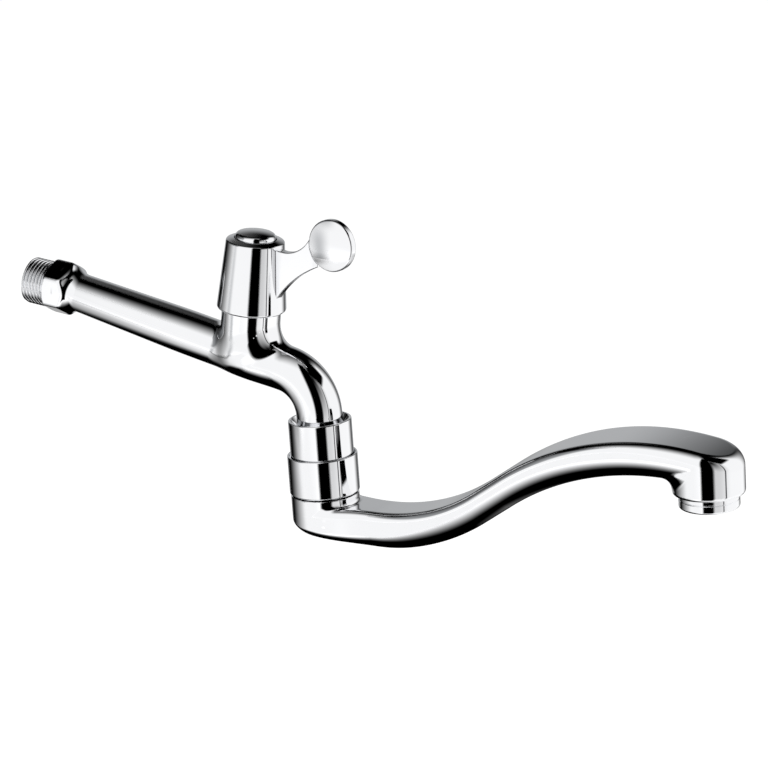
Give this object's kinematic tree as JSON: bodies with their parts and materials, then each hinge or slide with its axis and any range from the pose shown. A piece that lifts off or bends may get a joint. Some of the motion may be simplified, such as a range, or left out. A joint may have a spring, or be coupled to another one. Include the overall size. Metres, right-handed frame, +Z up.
{
  "type": "utility sink faucet",
  "caption": "Wall-mounted cold tap with a threaded inlet, wrench boss, sloping tube, quarter-turn lever handle on a tower and an S-shaped swing spout with aerator.",
  "frame": {"origin": "on the inlet thread's axis, at the face of the wrench boss where the thread starts", "axes": "+X out from the wall along the inlet thread's axis, +Z up along the handle's axis, +Y to the right of a user who faces the wall"},
  "size_m": [0.3459, 0.0306, 0.1422],
  "materials": {
    "chrome": "polished chrome plate on brass",
    "brass": "machined",
    "steel": "stainless, plain",
    "rubber": "moulded",
    "ceramic": "lapped",
    "plastic": "moulded"
  },
  "bodies": {
    "fixed": {"body": "chrome", "swivel_sleeve": "chrome", "spout_nut": "chrome", "slip_washer": "plastic", "cartridge_body": "brass", "bonnet_o_ring": "rubber", "stator_disc": "ceramic", "seat_seal": "rubber"},
    "handle": {"spindle": "brass", "rotor_disc": "ceramic", "stem_o_rings": "rubber", "circlip": "steel", "handle_bell": "chrome", "lever": "chrome", "handle_screw": "steel", "index_cap": "chrome"},
    "swing": {"spout": "chrome", "spout_tail": "brass", "tail_o_rings": "rubber", "split_ring": "brass", "aerator_shell": "chrome", "aerator_core": "plastic", "aerator_screen": "steel", "aerator_gasket": "rubber"}
  },
  "joints": [
    {"name": "handle_turn", "type": "hinge", "parent": "fixed", "child": "handle", "pos_m": [0.103, 0, 0.0265], "axis": [0, 0, 1], "range_deg": [0, 90]},
    {"name": "spout_swing", "type": "hinge", "parent": "fixed", "child": "swing", "pos_m": [0.14019, 0, -0.03084], "axis": [-0.1564, 0, 0.9877], "range_deg": [-120, 120]}
  ]
}
